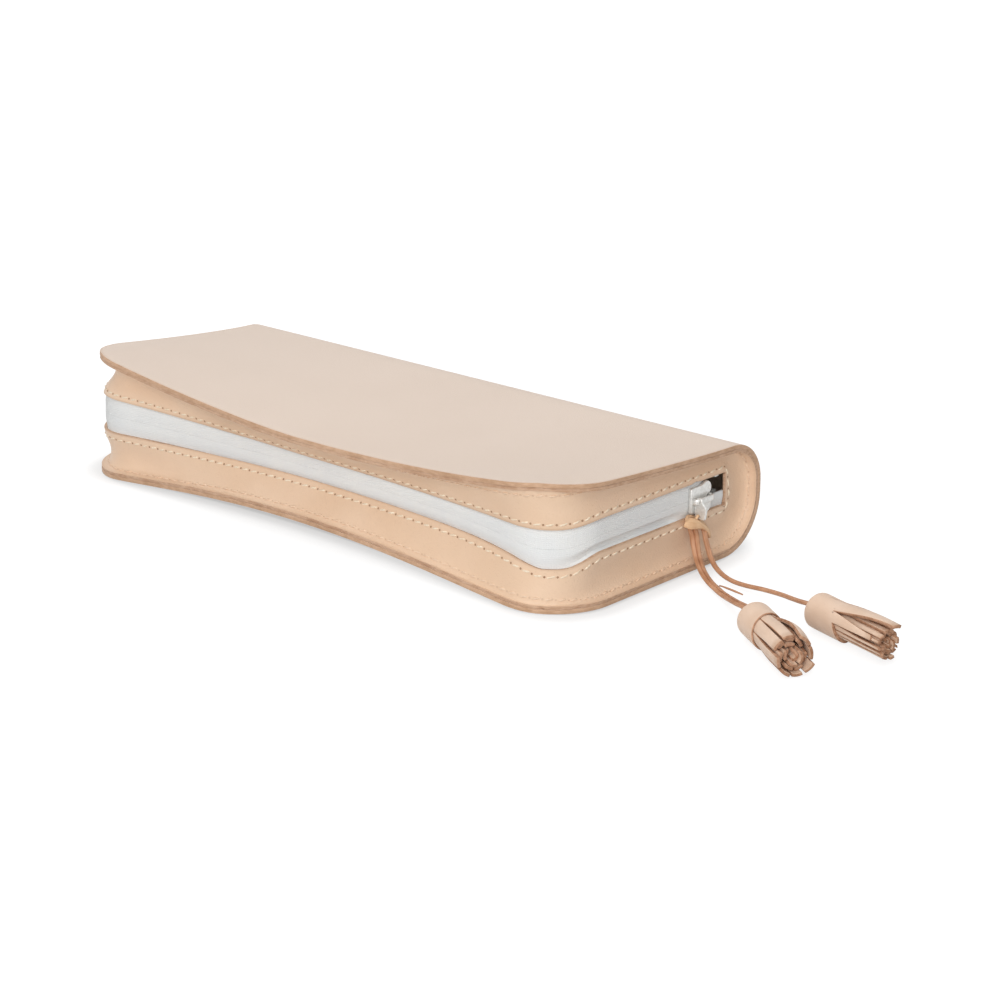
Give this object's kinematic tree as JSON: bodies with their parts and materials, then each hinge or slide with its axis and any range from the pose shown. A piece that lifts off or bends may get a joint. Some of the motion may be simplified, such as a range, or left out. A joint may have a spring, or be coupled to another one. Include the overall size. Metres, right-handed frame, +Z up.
{
  "type": "zip pen case",
  "caption": "Slim leather pen case folded round its back, with a moulded gusset, a zip round its open sides and a pull with laced tassels.",
  "frame": {"origin": "on the ground under the middle of the case, where the flat stretch of its bottom rests", "axes": "+X runs along the case to the end where the slider stands, +Y points to the folded spine, +Z points up"},
  "size_m": [0.2797, 0.087, 0.0394],
  "materials": {
    "leather": "natural vegetable-tanned leather, smooth and matte, with burnished edges",
    "leather_gusset": "natural vegetable-tanned leather, moulded wet, a little darker and glossier",
    "zip_tape": "white woven zip tape, the zip's reverse side facing out",
    "zip_coil": "white nylon coil",
    "thread": "cream waxed thread",
    "metal": "nickel-plated, lightly brushed",
    "lace": "darker oiled leather lace with raw edges"
  },
  "bodies": {
    "base": {"wrap_bottom": "leather", "gusset_lower": "leather_gusset", "zip_tape_lower": "zip_tape", "zip_coil_lower": "zip_coil", "slot_thread_lower": "thread", "rim_thread_lower": "thread", "top_stop_lower": "metal", "bottom_stop": "metal"},
    "lid": {"wrap_top": "leather", "gusset_upper": "leather_gusset", "zip_tape_upper": "zip_tape", "zip_coil_upper": "zip_coil", "slot_thread_upper": "thread", "rim_thread_upper": "thread", "top_stop_upper": "metal"},
    "slider": {"slider_body": "metal", "lace_left": "lace", "lace_right": "lace", "lace_tag": "lace", "tassel_left_cap": "leather", "tassel_left_fringe": "leather", "tassel_right_cap": "leather", "tassel_right_fringe": "leather"},
    "pull": {"pull_tab": "metal", "lace_hitch": "lace"}
  },
  "joints": [
    {"name": "lid_open", "type": "hinge", "parent": "base", "child": "lid", "pos_m": [0, 0.0435, 0.0186], "axis": [-1, 0, 0], "range_deg": [0, 55]},
    {"name": "slider_travel", "type": "slide", "parent": "base", "child": "slider", "axis": [0, -1, 0], "range_m": [0, 0.032], "deforming": ["zip_tape_lower", "zip_tape_upper", "zip_coil_lower", "zip_coil_upper"]},
    {"name": "pull_swing", "type": "hinge", "parent": "slider", "child": "pull", "pos_m": [0.1001, 0.01645, 0.0196], "axis": [0, -1, 0], "range_deg": [0, 150], "deforming": ["lace_left", "lace_right", "lace_tag"]}
  ]
}
